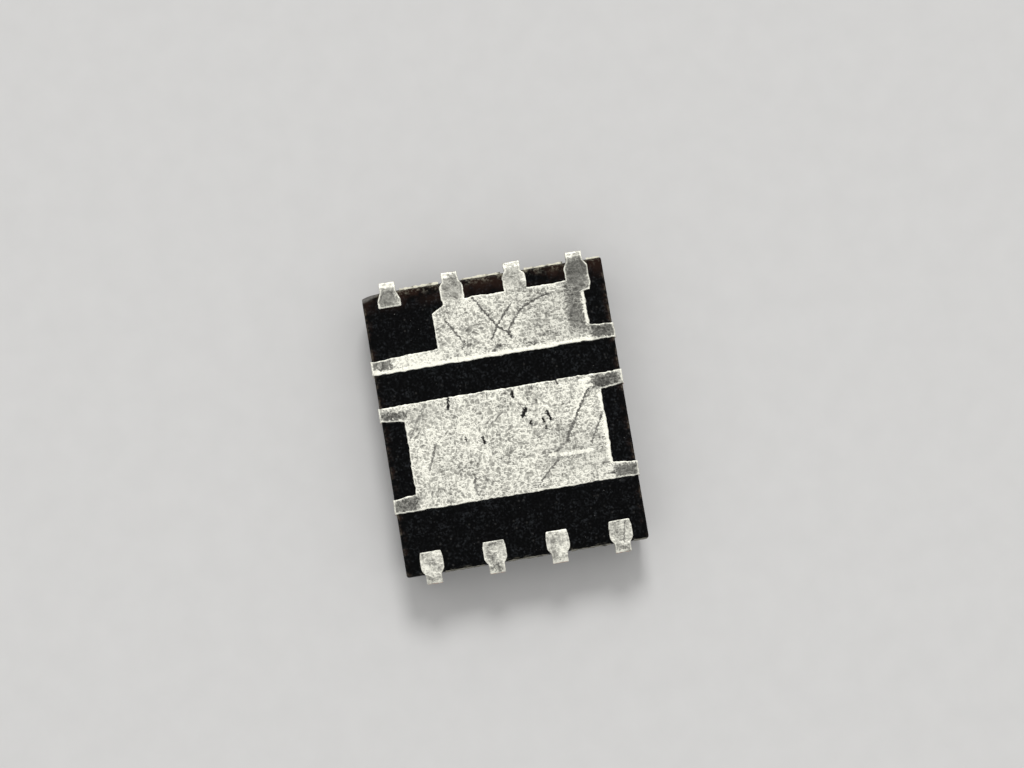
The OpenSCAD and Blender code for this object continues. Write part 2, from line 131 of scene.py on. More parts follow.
GOUGES = (
    (((0.45, 0.08), (0.37, -0.06)), 0.034, 1.0), (((0.86, -0.05), (0.91, -0.21)), 0.026, 1.0),
    (((0.21, 0.44), (0.23, 0.35)), 0.032, 1.0), (((0.5, -0.21), (0.51, -0.25)), 0.027, 0.9),
    (((0.75, -0.18), (0.76, -0.24)), 0.022, 0.9), (((0.78, -0.32), (0.79, -0.38)), 0.022, 0.8),
    (((0.33, 0.2), (0.36, 0.16)), 0.022, 0.7), (((0.67, 0.21), (0.69, 0.18)), 0.024, 0.7),
    (((1.12, 0.55), (1.15, 0.48)), 0.02, 0.8), (((0.62, 0.5), (0.63, 0.43)), 0.018, 0.7),
    (((-1.05, 0.54), (-1.1, 0.31)), 0.024, 0.9), (((-0.5, -0.36), (-0.47, -0.48)), 0.024, 0.9),
    (((-0.83, -0.28), (-0.83, -0.37)), 0.018, 0.8), (((-1.08, -1.43), (-1.06, -1.45)), 0.034, 0.6),
    (((1.97, -1.46), (1.99, -1.49)), 0.026, 0.7), (((0.13, 1.43), (0.09, 1.4)), 0.04, 0.7),
    (((0.01, 1.34), (0.03, 1.36)), 0.03, 0.7), (((-0.33, 1.6), (-0.28, 1.56)), 0.032, 0.5),
    (((0.4, 1.66), (0.37, 1.61)), 0.022, 0.7), (((-0.66, -2.72), (-0.7, -2.8)), 0.05, 0.5),
    (((0.66, -2.6), (0.7, -2.7)), 0.04, 0.4), (((-2.04, -2.66), (-1.8, -2.7)), 0.022, 0.45),
    (((-2.03, -2.93), (-1.96, -2.97)), 0.03, 0.5), (((-0.62, -2.9), (-0.6, -3.0)), 0.03, 0.6),
    (((0.52, -2.86), (0.56, -2.93)), 0.035, 0.5), (((0.55, -2.62), (0.5, -2.68)), 0.03, 0.4),
    (((1.86, -2.96), (1.98, -2.99)), 0.02, 0.5),
    (((-0.48, 1.52), (-0.44, 1.54)), 0.04, 0.6), (((-0.6, 1.5), (-0.56, 1.53)), 0.026, 0.6),
    (((-0.34, 1.77), (-0.29, 1.79)), 0.02, 0.5), (((0.36, 1.64), (0.4, 1.56)), 0.026, 0.75),
    (((-0.18, 1.82), (-0.15, 1.82)), 0.022, 0.5), (((-0.6, 2.93), (-0.56, 2.82)), 0.05, 0.35),
)
# Painted highlights, with width and strength: along the lit edges of the pads, on a burr beside a scratch, and on
# bright scratches and patches
HIGHLIGHT_LINES = (
    (((0.79, -0.92), (1.2, -0.95), (1.61, -0.95)), 0.034, 1.2),
    (((1.66, 0.34), (1.83, 0.33)), 0.03, 1.2), (((1.6, 0.45), (1.8, 0.47)), 0.03, 1.0),
    (((1.7, 0.27), (1.49, -0.03), (1.34, -0.28)), 0.018, 1.0),
    (((-2.4, 1.262), (1.98, 1.262)), 0.042, 1.0),
    (((1.965, 1.6), (1.965, 2.2)), 0.04, 1.0),
    (((1.965, 0.15), (1.965, -1.25)), 0.036, 1.0),
)
# Areas with their centre, half size and strength: dull tie bars, feet and patches, the rolled upper tips, and painted
# shade in thin lines where the tips bend down; then painted highlights at the lower tips' ends and on smooth patches,
# and brighter tin
DULL_AND_SHADE_AREAS = (
    ((-2.28, 1.41), (0.17, 0.11), 0.72), ((2.22, 1.4), (0.27, 0.15), 0.95), ((-2.22, 0.36), (0.19, 0.08), 1.0),
    ((2.12, 0.38), (0.32, 0.14), 1.0), ((-2.24, -1.45), (0.24, 0.13), 0.9), ((2.25, -1.46), (0.24, 0.13), 0.9),
    ((-1.9, 2.74), (0.2, 0.2), 0.75), ((-0.62, 2.74), (0.22, 0.2), 0.45), ((0.64, 2.74), (0.2, 0.2), 0.35),
    ((1.9, 2.65), (0.26, 0.3), 0.95), ((1.87, 2.15), (0.3, 0.7), 0.85), ((1.11, -0.5), (0.12, 0.12), 0.4),
    ((-1.6, 0.3), (0.3, 0.2), 0.25), ((1.15, 1.9), (0.5, 0.6), 0.2),
    ((0.3, 1.9), (1.4, 0.6), 0.07), ((0.0, 3.03), (2.4, 0.06), 0.3), ((1.3, -0.95), (0.55, 0.4), 0.15),
    ((1.2, -0.94), (0.5, 0.13), 0.4), ((0.0, -2.7), (2.4, 0.3), 0.07), ((1.9, -2.7), (0.24, 0.3), 0.1),
    # Painted shade: thin dark lines where the tips of both rows bend down into their bevels
    ((0.0, -2.97), (2.4, 0.02), 0.4), ((0.0, 2.94), (2.4, 0.012), 0.5),
)
# Painted highlights at the ends of the lower tips, on the top band of a tie bar and on a foot, and a brighter patch
# of tin
HIGHLIGHT_AND_BRIGHT_TIN_AREAS = (
    ((-1.55, 1.4), (0.5, 0.13), 0.5), ((0.0, -3.05), (2.4, 0.03), 0.6), ((-1.9, 0.52), (0.3, 0.06), 0.5),
    ((-1.9, -2.65), (0.24, 0.25), 0.15),
)


def length_property(name, description, default):
    """A length among the settings, in metres."""
    return FloatProperty(name=name, description=description, default=default, unit="LENGTH", precision=6)


def angle_property(name, description, degrees):
    """An angle among the settings."""
    return FloatProperty(name=name, description=description, default=math.radians(degrees), subtype="ANGLE")


def colour_property(name, description, colour):
    """An opaque colour among the settings."""
    return FloatVectorProperty(name=name, description=description, default=colour + (1.0,), subtype="COLOR", size=4)


class EpoxySettings(bpy.types.PropertyGroup):
    """The black moulding."""
    draft: angle_property("Wall draft", "Slope of the moulded walls below the lead frame", 10)
    edge_radius: length_property("Edge radius", "Rounding of the moulding's edges", 0.05e-3)
    grain_depth: length_property("Grain depth", "Depth of the mould tool's texture", 0.003e-3)
    chip_depth: length_property("Chip depth", "Depth of the chips along the rim", 0.03e-3)
    flash_radius: length_property("Flash radius", "Half the thickness of the resin flash", 0.026e-3)
    speck_density: FloatProperty(name="Speck density", description="Bare filler grains to a square millimetre",
                                 default=2.4, min=0.0)
    speck_size: length_property("Speck size", "Radius of the largest bare filler grain", 0.013e-3)
    seed: IntProperty(name="Seed", description="Seed of the grains and chips", default=7)
    colour: colour_property("Colour", "Colour of the moulded epoxy", (0.0009, 0.001, 0.0011))
    # Pale colour of the resin film, of the brown dust, and of the edges, where it is partly a painted highlight
    wear_and_highlight_colour: colour_property("Worn colour", "Colour of the epoxy along worn edges", (0.26, 0.24, 0.18))
    flash_colour: colour_property("Flash colour", "Colour of the thin resin flash", (0.74, 0.71, 0.57))
    filler_colour: colour_property("Filler colour", "Colour of the bare filler grains", (0.08, 0.078, 0.072))


class TinSettings(bpy.types.PropertyGroup):
    """The tin-plated copper sheet of the pads and leads."""
    edge_radius: length_property("Edge radius", "Rounding of the sheet's edges", 0.018e-3)
    ragged: length_property("Ragged edge", "How far the etched edge wanders", 0.014e-3)
    mesh_step: length_property("Mesh step", "Distance between the vertices of a pad's face", 0.019e-3)
    grain_size: length_property("Grain size", "Size of the grains in the plating", 0.086e-3)
    grain_depth: length_property("Grain depth", "Depth of the grains in the plating", 0.0028e-3)
    scratch_depth: length_property("Scratch depth", "Depth of the scratches and gouges", 0.003e-3)
    bright: colour_property("Bright grain", "Colour of the brightest grains", (0.96, 0.947, 0.85))
    dark: colour_property("Dark grain", "Colour of the darkest grains", (0.16, 0.157, 0.14))
    dull: colour_property("Dull tin", "Colour of the tie bars and of the feet", (0.093, 0.0915, 0.083))
    copper: colour_property("Cut copper", "Colour of the bare copper at the cut ends", (0.5, 0.23, 0.13))
    scratch_darkening: colour_property("Scratch_darkening", "Colour of the darkening in scratches and gouges", (0.03, 0.028, 0.025))


class LeadSettings(bpy.types.PropertyGroup):
    """The punched feet of the leads."""
    foot_width: length_property("Foot width", "Width of a foot at its widest", 0.48e-3)
    heel_width: length_property("Heel width", "Width of a foot at its inner end", 0.43e-3)
    tip_width: length_property("Tip width", "Width of a foot at its tip", 0.33e-3)
    heel_length: length_property("Heel length", "Length over which the heel widens", 0.13e-3)
    shoulder: length_property("Shoulder", "Length over which a foot narrows to its tip", 0.14e-3)
    gate_shoulder: length_property("Gate shoulder", "The same for the high-side gate foot", 0.19e-3)
    reach: length_property("Reach", "Reach of a foot inside the body's edge", 0.455e-3)
    gate_reach: length_property("Gate reach", "The same for the high-side gate foot", 0.335e-3)
    bevel_run: length_property("Bevel run", "Length of the rolled bevel at a tip", 0.12e-3)
    bevel_drop: length_property("Bevel drop", "Drop of the rolled bevel at a tip", 0.055e-3)
    web_reach: length_property("Web reach", "Reach of the etched web behind a foot", 0.32e-3)
    web_margin: length_property("Web margin", "How much wider than the foot the web is", 0.05e-3)
    web_thickness: length_property("Web thickness", "Thickness of the etched web", 0.12e-3)


class InsideSettings(bpy.types.PropertyGroup):
    """What the moulding hides."""
    copper: colour_property("Copper", "Colour of the source clips", (0.72, 0.33, 0.19))
    silicon: colour_property("Silicon", "Colour of the dies", (0.16, 0.17, 0.2))
    solder: colour_property("Solder", "Colour of the soldered joints", (0.42, 0.42, 0.41))
    gold: colour_property("Gold", "Colour of the gate wires", (0.83, 0.57, 0.18))


class StudioSettings(bpy.types.PropertyGroup):
    """The floor, the light and the camera."""
    floor_colour: colour_property("Floor colour", "Colour of the pale floor", (0.61, 0.605, 0.595))
    floor_size: length_property("Floor size", "Side of the square floor", 0.6)
    key_strength: FloatProperty(name="Key strength", description="Strength of the key light", default=1.68)
    key_height: angle_property("Key height", "Height of the key light above the horizon", 43)
    key_softness: angle_property("Key softness", "Angle across the key light", 20)
    zenith: FloatProperty(name="Overhead light", description="Brightness of the room overhead", default=0.5)
    horizon: FloatProperty(name="Level light", description="Brightness of the room at eye level", default=0.8)
    view_turn: angle_property("View turn", "How far the part is turned in the picture", 9.48)
    view_tilt: angle_property("View tilt", "How far the camera leans from straight above", 6.91)
    camera_place: FloatVectorProperty(name="Camera place", description="Where the camera stands",
                                      default=(-0.928e-3, -6.48e-3, 60.317e-3), size=3, subtype="TRANSLATION")
    lens: FloatProperty(name="Lens", description="Focal length in millimetres", default=104.84)


class Flow:
    """An output socket for use in Python expressions: each operator adds the node that works it out."""

    def __init__(self, tree, socket):
        self.tree, self.socket = tree, socket

    def node(self, kind, settings=(), sockets=(), out=0):
        """Adds a node, sets its settings, then the values or links of its sockets, and gives one output."""
        made = self.tree.nodes.new(kind)
        for name, value in dict(settings).items():
            setattr(made, name, value)
        for key, value in dict(sockets).items():
            if isinstance(value, Flow):
                self.tree.links.new(value.socket, made.inputs[key])
            else:
                made.inputs[key].default_value = value
        return Flow(self.tree, made.outputs[out])

    def _work(self, operation, *values):
        kind = "ShaderNodeVectorMath" if self.socket.type == "VECTOR" else "ShaderNodeMath"
        return self.node(kind, {"operation": operation}, enumerate(values))

    def __add__(self, other):
        return self._work("ADD", self, other)

    def __radd__(self, other):
        return self._work("ADD", other, self)

    def __sub__(self, other):
        return self._work("SUBTRACT", self, other)

    def __rsub__(self, other):
        return self._work("SUBTRACT", other, self)

    def __mul__(self, other):
        if self.socket.type == "VECTOR":
            return self.node("ShaderNodeVectorMath", {"operation": "SCALE"}, {0: self, "Scale": other})
        return self._work("MULTIPLY", self, other)

    def __truediv__(self, other):
        return self._work("DIVIDE", self, other)

    def __rtruediv__(self, other):
        return self._work("DIVIDE", other, self)

    def __pow__(self, other):
        return self._work("POWER", self, other)

    def __abs__(self):
        return self._work("ABSOLUTE", self)

    def apply(self, operation, *others):
        """The result of any other Math or Vector Math operation."""
        return self._work(operation, self, *others)

    def least(self, other):
        return self.apply("MINIMUM", other)

    def most(self, other):
        return self.apply("MAXIMUM", other)

    def step(self, low, high):
        """0 below low, 1 above high and a smooth change between. low may be the greater one."""
        return self.node("ShaderNodeMapRange", {"interpolation_type": "SMOOTHSTEP"}, {0: self, 1: low, 2: high})

    def mix(self, one, two):
        """One colour where this is 0, the other where it is 1."""
        return self.node("ShaderNodeMix", {"data_type": "RGBA"}, {0: self, 6: one, 7: two}, out=2)

    def split(self):
        """The three parts of a vector."""
        parts = self.node("ShaderNodeSeparateXYZ", (), {0: self}).socket.node.outputs
        return [Flow(self.tree, part) for part in parts]

    def joined(self, y, z):
        """A vector with this as its X."""
        return self.node("ShaderNodeCombineXYZ", (), {0: self, 1: y, 2: z})

    def noise(self, size, detail=2.0, rough=0.5, out=0):
        """Noise of about this grain, over this vector."""
        sockets = {"Vector": self, "Scale": 1 / size, "Detail": detail, "Roughness": rough}
        return self.node("ShaderNodeTexNoise", (), sockets, out)

    def wander(self, size):
        """A chance vector of -0.5 to 0.5 that changes over about this size."""
        sockets = {0: self.noise(size, out=1), 1: (0.5, 0.5, 0.5)}
        return self.node("ShaderNodeVectorMath", {"operation": "SUBTRACT"}, sockets)

    def cells(self, size, out=1):
        """Cells of about this size, over this vector: their distances, or their chance colours."""
        return self.node("ShaderNodeTexVoronoi", (), {"Vector": self, "Scale": 1 / size}, out)

    def turned(self, angle, scale):
        """This vector turned about Z and then stretched, for a pattern with a direction."""
        sockets = {"Vector": self, "Rotation": (0.0, 0.0, angle), "Scale": scale}
        return self.node("ShaderNodeMapping", (), sockets)

    def moved(self, **sockets):
        """This shape with its points at a new Position, or moved by an Offset."""
        return self.node("GeometryNodeSetPosition", (), {"Geometry": self, **sockets})

    def marked(self, name, value):
        """This shape with a value stored at each of its points."""
        sockets = {"Geometry": self, "Name": name, "Value": value}
        return self.node("GeometryNodeStoreNamedAttribute", {"data_type": "FLOAT"}, sockets)


def new_material(name):
    """A new material, the place on its piece in millimetres, and its shader node."""
    material = bpy.data.materials.new(name)
    material.use_nodes = True
    tree = material.node_tree
    shader = tree.nodes["Principled BSDF"]
    place = Flow(tree, tree.nodes.new("ShaderNodeTexCoord").outputs["Object"]) * (1 / MM)
    return material, place, shader


def feed(shader, **sockets):
    """Links or sets a shader's sockets by name, with _ for a space."""
    for name, value in sockets.items():
        socket = shader.inputs[name.replace("_", " ")]
        if isinstance(value, Flow):
            value.tree.links.new(value.socket, socket)
        else:
            socket.default_value = value


def scaled(colour, share):
    """A colour made darker or lighter by this share."""
    return tuple(value * share for value in colour[:3]) + (1.0,)


def bump(height, depth, strength):
    """A normal that follows this height, 0 to 1, over a depth in millimetres."""
    return height.node("ShaderNodeBump", (), {"Strength": strength, "Distance": depth * MM, "Height": height})


def near_line(x, y, spread, points, width):
    """1 on a line through these points and 0 away from it. Where spread is above 1, the line is thinner."""
    near = None
    for (ax, ay), (bx, by) in zip(points, points[1:]):
        dx, dy = bx - ax, by - ay
        share = dx * dx + dy * dy
        px, py = x - ax, y - ay
        along = (px * (dx / share) + py * (dy / share)).most(0.0).least(1.0)
        away_x, away_y = px - along * dx, py - along * dy
        square = away_x * away_x + away_y * away_y
        near = square if near is None else near.least(square)
    return (near * spread).step((1.4 * width) ** 2, (0.3 * width) ** 2)


def near_box(x, y, centre, half):
    """1 inside a soft box and 0 away from it."""
    away_x, away_y = abs(x - centre[0]) * (1 / half[0]), abs(y - centre[1]) * (1 / half[1])
    return away_x.most(away_y).step(1.4, 0.6)


def strongest(marks, near):
    """The strongest of these marks at each place, where near gives one mark's share."""
    best = None
    for where, size, strength in marks:
        here = near(where, size) * strength
        best = here if best is None else best.most(here)
    return best


def tin_material(tin):
    """Matte tin over copper sheet: fine grains, dull tie bars and feet, painted highlights along the rims and on lit
    lines and patches, painted shade where the tips bend, and scratches and gouges drawn darker.
    """
    material, place, shader = new_material("matte_tin")
    x, y, z = place.split()
    wander, blotch, cloud = place.noise(0.06, 3.0), place.noise(0.16, 3.0, 0.6), place.noise(0.4, 3.0)
    fine = place.noise(tin.grain_size / MM, 2.0, 0.55)
    speck = place.noise(0.6 * tin.grain_size / MM, 2.0)
    grain = speck.step(0.56, 0.74)
    worm = (1 - abs(fine - 0.5) * 11.0).most(0.0)
    # The rim value gives a painted highlight along the sheet's edges: on the top face only, patchy, and weaker on the
    # lower tips, which face away from the key light
    rim = place.node("ShaderNodeAttribute", {"attribute_name": "rim"}, (), out=2).step(0.25, 0.65)
    face = z.step(SOLDER_Z - 0.1, SOLDER_Z - 0.05)
    rim = rim * (wander * 1.3 + blotch - 0.3).least(1.0).most(0.1) * face * (1 - y.step(-2.3, -2.5) * 0.45)
    # The marks wander a little, so none of them is ruled
    shift_x, shift_y, shift_z = place.noise(0.05, 3.0, 0.6, out=1).split()
    mark_x, mark_y = x + (shift_x - 0.5) * 0.11 + (cloud - 0.5) * 0.05, y + (shift_y - 0.5) * 0.11
    soft_x, soft_y = x + (cloud - 0.5) * 0.4 + (shift_x - 0.5) * 0.3, y + (shift_y - 0.5) * 0.3
    spread = 0.3 + shift_z.step(0.35, 0.7) * 1.7
    on_line = partial(near_line, mark_x, mark_y, spread)
    hair = place.turned(0.7, (14.0, 0.9, 1.0)).noise(1.0, 2.0).step(0.62, 0.74)
    hair = hair.most(place.turned(-0.85, (12.0, 0.8, 1.0)).noise(1.0, 2.0).step(0.63, 0.75)) * 0.35
    # Scratches, fine hair lines and gouges are drawn darker in colour, less metallic and rougher, and the deepest
    # gouges darker still
    gouge = strongest(GOUGES, on_line) * face
    scratch_darkening = (strongest(SCRATCHES, on_line).most(hair) * wander.step(0.2, 0.36) * face).most(gouge)
    # Dull tin, with the painted shade lines at the bends of the tips
    dull = strongest(DULL_AND_SHADE_AREAS, partial(near_box, soft_x, soft_y))
    # Painted highlights along the pads' lit edges, a burr and bright scratches; the dull tin gives way under them and
    # under the rim's painted highlight
    lines = strongest(HIGHLIGHT_LINES, on_line)
    dull = dull * (0.2 + blotch * 1.7).least(1.0) * (1 - rim.most(lines.least(1.0)) * 0.9)
    highlight_and_bright_tin = (lines * 1.6).most(strongest(HIGHLIGHT_AND_BRIGHT_TIN_AREAS, partial(near_box, x, soft_y))).most(rim)
    streak = (place.turned(-0.06, (2.2, 34.0, 1.0)).noise(1.0, 2.0) - 0.5) * x.step(-0.6, 0.8)
    foot = abs(y).step(2.4, 2.5)
    tone = ((worm - 0.3) * 0.62 + (0.5 - speck) * 1.15 + streak) * (0.5 + face * 0.5) * (1 - foot * 0.45)
    # The painted highlights, with some brighter tin, lighten the tone here
    tone = tone + 0.62 + (cloud - 0.5) * 0.8 + (blotch - 0.5) * (0.9 + foot * 0.9) + highlight_and_bright_tin * 0.5
    shade = tone.least(1.0).most(0.0)
    plate = shade.mix(tuple(tin.dark), tuple(tin.bright))
    worn = (shade * 0.6 + wander.step(0.3, 0.7) * 0.5).mix(scaled(tin.dull, 0.15), scaled(tin.dull, 1.5))
    colour = scratch_darkening.mix((dull * 0.95).mix(plate, worn), tuple(tin.scratch_darkening))
    colour = gouge.step(0.6, 0.9).mix(colour, scaled(tin.scratch_darkening, 0.2))
    # The tie bars and tips are cut after plating, so their ends are bare copper, with tin drawn over it
    cut = abs(x).step(HALF_X + 0.004, HALF_X + 0.012).most(abs(y).step(TIP_Y - 0.014, TIP_Y - 0.007))
    bare = place.turned(0.0, (1.0, 1.0, 0.3)).noise(0.05, 3.0).step(0.36, 0.5)
    cut = cut * z.step(SOLDER_Z - 0.09, SOLDER_Z - 0.13) * bare
    colour = (cut * 0.85).mix(colour, tuple(tin.copper))
    rough = 0.66 - worm * 0.1 + grain * 0.1 + scratch_darkening * 0.12
    relief = worm * 0.5 + fine * 0.4 - grain * 0.3 - scratch_darkening * 0.6
    feed(shader, Base_Color=colour, Roughness=rough, Metallic=1.0 - scratch_darkening * 0.5, Normal=bump(relief, 0.006, 0.8))
    return material


def epoxy_material(epoxy):
    """Black filled epoxy: fine tool texture, pale filler grains, brown dust and a worn resin film at the rim."""
    material, place, shader = new_material("black_epoxy")
    x, y, z = place.split()
    fine, patch = place.noise(0.046, 3.0, 0.6), place.noise(0.15, 3.0, 0.65)
    cloud = place.noise(0.35, 4.0, 0.6)
    chance, core = place.cells(0.075).split()[1], place.cells(0.075, out=0)
    fleck = chance.step(0.86, 0.97) * core.step(0.42, 0.12)
    depth = (MOULD_Z - z).most(0.0)
    side, end = HALF_X - abs(x), EDGE_Y - y
    # The film lies along the edge of the upper leads, the wear with a painted highlight along all edges, and the
    # break at one corner
    film = (end + depth * 1.5 + (patch - 0.5) * 0.06).step(0.2, 0.0)
    film = film * ((patch * 2.4 + fine * 2.0 - 2.1) * 1.3).most(0.0).least(1.0)
    wall = side.least(EDGE_Y - abs(y)).most(0.0)
    # The edges are painted paler: partly wear, partly a painted highlight where the rounded edges catch the light
    worn = (wall + depth * 1.2).step(0.07, 0.015) * patch.step(0.46, 0.7) * 0.45
    dusty = (side + end.least(0.3) * 0.4 + depth * 0.4).step(0.3, 0.08) * patch.step(0.45, 0.65)
    broken = ((x + HALF_X) / BROKEN[0] + end / BROKEN[1] + depth / BROKEN[2]).step(1.45, 1.12)
    broken = broken * ((patch - 0.3) * 1.9 + fine * 0.5)
    black, pale = tuple(epoxy.colour), tuple(epoxy.wear_and_highlight_colour)
    brown = tuple(value * share for value, share in zip(pale, (0.12, 0.06, 0.05))) + (1.0,)
    mottle = ((fine - 0.48) * 3.6).most(0.0) * (0.2 + patch.step(0.4, 0.68) * 1.6)
    colour = mottle.least(1.0).mix(black, scaled(black, 18.0))
    near_leads = (end + depth).step(0.5, 0.1) * cloud.step(0.35, 0.6)
    colour = (near_leads * 0.5).most(dusty * 0.7).mix(colour, brown)
    colour = film.most(worn).least(1.0).mix(colour, pale)
    colour = broken.least(1.0).mix(colour, scaled(epoxy.filler_colour, 2.0))
    colour = (fleck * 0.25).mix(colour, tuple(epoxy.filler_colour))
    rough = 0.34 + (fine - 0.5) * 0.3 + film * 0.2 + dusty * 0.2 + broken * 0.3
    relief = fine * 0.8 + fleck * 0.4 + broken * patch * 5.0
    feed(shader, Base_Color=colour, Roughness=rough, Specular_IOR_Level=0.055, Normal=bump(relief, 0.005, 0.6))
    return material


def flash_material(epoxy, name, share):
    """Thin resin flash, paler than the moulding because the filler is strained out of it. share scales its colour,
    and the lower flash's smaller share is painted shade on the side away from the key light.
    """
    material, place, shader = new_material(name)
    fine, cloud = place.noise(0.03, 3.0), place.noise(0.16, 2.0)
    pale = scaled(epoxy.flash_colour, share)
    colour = (cloud.step(0.3, 0.52) * (0.45 + fine)).least(1.0).mix(scaled(pale, 0.2), pale)
    feed(shader, Base_Color=colour, Roughness=0.58 + fine * 0.25, Normal=bump(fine, 0.008, 0.8))
    return material


def filler_material(epoxy):
    """Bare silica filler grains and mould dust."""
    material, place, shader = new_material("bare_filler")
    chance = place.cells(0.09).split()[0]
    colour = chance.mix(scaled(epoxy.filler_colour, 0.22), tuple(epoxy.filler_colour))
    feed(shader, Base_Color=colour, Roughness=0.5 + chance * 0.2, Normal=bump(place.noise(0.008), 0.002, 0.5))
    return material


def metal_material(name, colour, grain_size, rough, streak):
    """A plain metal with drawn or cast grain, for the pieces inside."""
    material, place, shader = new_material(name)
    grain = place.turned(0.0, (1.0, streak, 1.0)).noise(grain_size, 3.0, 0.6)
    cloud = place.noise(6 * grain_size, 2.0)
    tone = (0.35 + grain * 0.5 + cloud * 0.4).least(1.0).mix(scaled(colour, 0.6), tuple(colour))
    feed(shader, Base_Color=tone, Roughness=rough + (grain - 0.5) * 0.2, Metallic=1.0, Normal=bump(grain, 0.003, 0.5))
    return material


def geometry_tree(name, sizes, whole=()):
    """Starts a Geometry Nodes tree with these sizes and whole numbers as inputs, and gives each by its name."""
    tree = bpy.data.node_groups.new(name, "GeometryNodeTree")
    kinds = {"Geometry": "Geometry"} | dict.fromkeys(sizes, "Float") | dict.fromkeys(whole, "Int")
    for label, kind in (kinds | {"Material": "Material"}).items():
        tree.interface.new_socket(label, in_out="INPUT", socket_type="NodeSocket" + kind)
    tree.interface.new_socket("Geometry", in_out="OUTPUT", socket_type="NodeSocketGeometry")
    start = tree.nodes.new("NodeGroupInput")
    return {socket.name: Flow(tree, socket) for socket in start.outputs if socket.name}


def end_tree(shape, material):
    """Ends a tree with plain geometry that carries its material."""
    shape = shape.node("GeometryNodeRealizeInstances", (), {0: shape})
    shape = shape.node("GeometryNodeSetMaterial", (), {"Geometry": shape, "Material": material})
    end = shape.tree.nodes.new("NodeGroupOutput")
    shape.tree.links.new(shape.socket, end.inputs[0])
    return shape.tree


def run_tree(tree, inputs, mesh=None):
    """Runs a tree on a mesh, or on nothing, and gives the result as a plain mesh."""
    work = bpy.data.objects.new("work", mesh or bpy.data.meshes.new("work"))
    bpy.context.collection.objects.link(work)
    modifier = work.modifiers.new("tree", "NODES")
    modifier.node_group = tree
    for item in tree.interface.items_tree:
        if item.in_out == "INPUT" and item.name in inputs:
            modifier[item.identifier] = inputs[item.name]
    made = plain_mesh(work)
    bpy.data.objects.remove(work)
    if not made.polygons:
        raise RuntimeError(f"the tree {tree.name} made no faces")
    return made


def plain_mesh(obj):
    """What an object's modifiers make of it, as a mesh of its own."""
    depsgraph = bpy.context.evaluated_depsgraph_get()
    return bpy.data.meshes.new_from_object(obj.evaluated_get(depsgraph))


def rounded(u, half, share):
    """Where a coordinate of -1 to 1 falls on a block with rounded edges.

    Gives its place on the flat part, and how far round the edge it is. share is the share of the cells that
    go into the edge.
    """
    side, size = u.apply("SIGN"), abs(u)
    flat = (size / (1 - share)).least(1.0) * half * side
    turn = (size - (1 - share)).most(0.0) / share * side
    return flat, turn


def unit_block(start, cells):
    """A block from -1 to 1 each way, with this many cells along its sides."""
    counts = {f"Vertices {axis}": count + 1 for axis, count in zip("XYZ", cells)}
    return start.node("GeometryNodeMeshCube", (), {"Size": (2.0, 2.0, 2.0), **counts})


def hull_tree():
    """The outside of the moulding: a drafted block with rounded, chipped edges and the tool's texture."""
    take = geometry_tree("epoxy_hull", (
        "Width", "Length", "Height", "Frame Level", "Draft", "Edge Radius", "Grain Depth", "Chip Depth",
        "Break X", "Break Y", "Break Depth", "Seed"))
    radius = take["Edge Radius"]
    cells, in_edge = (138, 162, 32), 4
    shares = [2 * in_edge / count for count in cells]
    start = radius.node("GeometryNodeInputPosition").split()
    halves = [take[name] / 2 - radius for name in ("Width", "Length", "Height")]
    parts = [rounded(u, half, share) for u, half, share in zip(start, halves, shares)]
    flat = parts[0][0].joined(parts[1][0], parts[2][0])
    turn = parts[0][1].joined(parts[1][1], parts[2][1])
    x, y, z = (flat + turn.apply("NORMALIZE") * radius).split()
    z = z + take["Height"] / 2
    inset = (take["Frame Level"] - z).most(0.0) * take["Draft"].apply("TANGENT") * 2
    place = (x * (1 - inset / take["Width"])).joined(y * (1 - inset / take["Length"]), z)
    turns = [abs(part[1]) for part in parts]
    most = turns[0].most(turns[1]).most(turns[2])
    least = turns[0].least(turns[1]).least(turns[2])
    edge = turns[0] + turns[1] + turns[2] - most - least
    shape = unit_block(radius, cells).marked("edge", edge).moved(Position=place)
    here = shape.node("GeometryNodeInputPosition")
    spot = here + take["Seed"].joined(0.0, 0.0)
    normal = shape.node("GeometryNodeInputNormal")
    edge = shape.node("GeometryNodeInputNamedAttribute", {"data_type": "FLOAT"}, {"Name": "edge"})
    grain = spot.noise(0.08, 2.0) + spot.noise(0.6, 2.0) * 1.4
    chips = (spot.noise(0.16, 2.0, 0.6) - 0.5).most(0.0) * 3.4 * edge * here.split()[2].step(0.5, 0.9)
    depth = grain * take["Grain Depth"] + chips.least(1.0) * take["Chip Depth"] + 0.001
    shape = shape.moved(Offset=normal * (0.0 - depth))
    # The broken corner: what lies beyond its plane is pushed back to a rough face
    x, y, z = here.split()
    slope = [1 / take[name] for name in ("Break X", "Break Y", "Break Depth")]
    length = (slope[0] * slope[0] + slope[1] * slope[1] + slope[2] * slope[2]).apply("SQRT")
    inside = [x + take["Width"] / 2, take["Length"] / 2 - y, take["Height"] - z]
    beyond = (1 - inside[0] * slope[0] - inside[1] * slope[1] - inside[2] * slope[2]) / length
    rough = (spot.noise(0.12, 4.0, 0.65) - 0.3) * 0.09
    back = (slope[0] / length).joined(slope[1] / length * -1.0, slope[2] / length * -1.0)
    return end_tree(shape.moved(Offset=back * (beyond + rough).most(0.0)), take["Material"])


